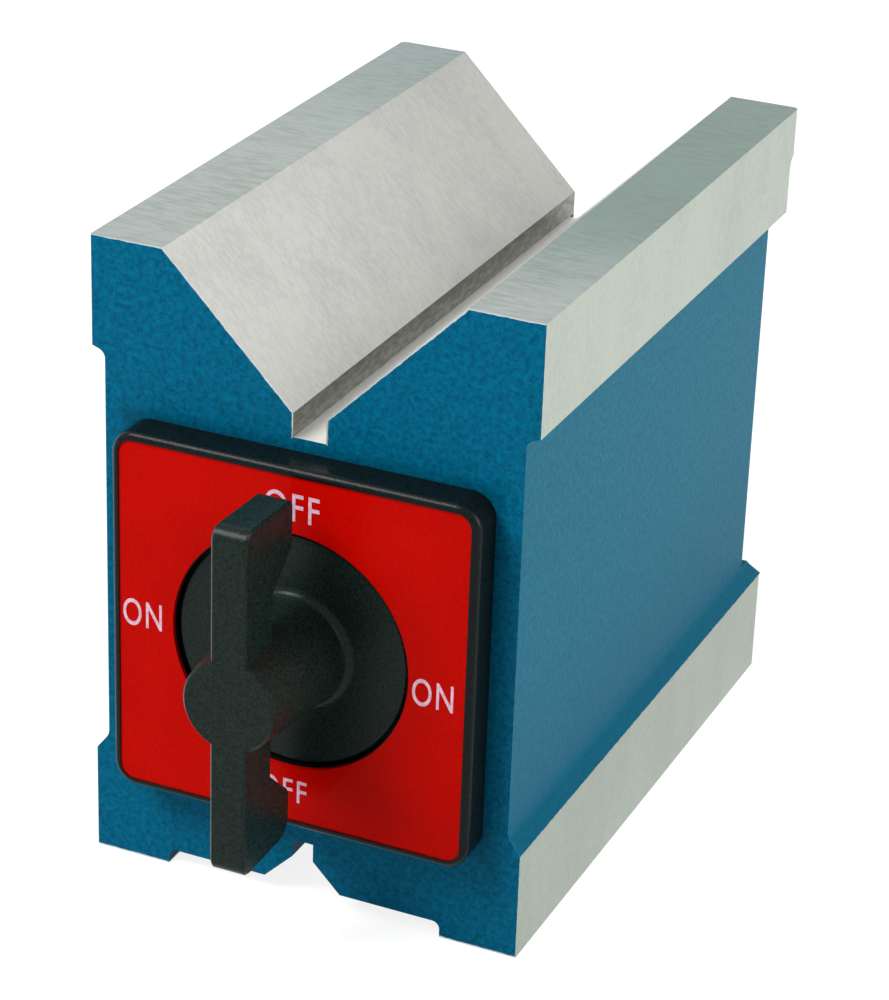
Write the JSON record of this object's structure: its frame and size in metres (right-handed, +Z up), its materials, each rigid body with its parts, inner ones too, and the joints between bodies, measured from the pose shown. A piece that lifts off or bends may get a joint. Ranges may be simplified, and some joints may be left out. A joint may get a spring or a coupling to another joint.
{
  "type": "magnetic v-block",
  "caption": "Switchable magnetic V-block: a 90 degree vee and ground rails hold round or square work, and a front bar handle turns the magnet on and off.",
  "frame": {"origin": "on the base plane, at the centre of the overall footprint with the handle included; the block's own centre lies 11.75 mm behind it", "axes": "+Z up through the vee, +Y from the switch side to the rear along the vee, +X to the right seen from the switch side"},
  "size_m": [0.067, 0.1234, 0.096],
  "materials": {
    "painted_pole_steel": "hammered blue paint, ground bare on the lands, vee, rails and feet",
    "separator_metal": "milled, painted over at the ends",
    "plate_metal": "turned",
    "bronze": "turned",
    "disc_brass": "turned",
    "screw_steel": "zinc plated",
    "hardened_steel": "polished",
    "shoe_steel": "machined",
    "magnet_ceramic": "sintered, ground",
    "bezel_plastic": "moulded, fine texture",
    "handle_plastic": "moulded, fine texture",
    "label_red": "glossy red"
  },
  "bodies": {
    "block": {"left_pole": "painted_pole_steel", "right_pole": "painted_pole_steel", "upper_separator": "separator_metal", "lower_separator": "separator_metal", "front_plate": "plate_metal", "front_plate_screws": "screw_steel", "front_bush": "bronze", "rear_bush": "bronze", "front_washer": "bronze", "rear_washer": "bronze", "stop_pin": "hardened_steel", "detent_plunger": "hardened_steel", "detent_spring": "hardened_steel", "bezel": "bezel_plastic", "bezel_screws": "screw_steel", "label_plate": "label_red"},
    "rotor": {"front_disc": "disc_brass", "rear_disc": "disc_brass", "front_disc_screws": "screw_steel", "rear_disc_screws": "screw_steel", "upper_shoe": "shoe_steel", "lower_shoe": "shoe_steel", "left_filler": "plate_metal", "right_filler": "plate_metal", "magnet_1": "magnet_ceramic", "magnet_2": "magnet_ceramic", "magnet_3": "magnet_ceramic", "front_shaft": "hardened_steel", "rear_shaft": "hardened_steel", "handle": "handle_plastic", "handle_screw": "screw_steel"}
  },
  "joints": [
    {"name": "handle_turn", "type": "hinge", "parent": "block", "child": "rotor", "pos_m": [0, -0.03825, 0.0428], "axis": [0, -1, 0], "range_deg": [-90, 90]}
  ]
}
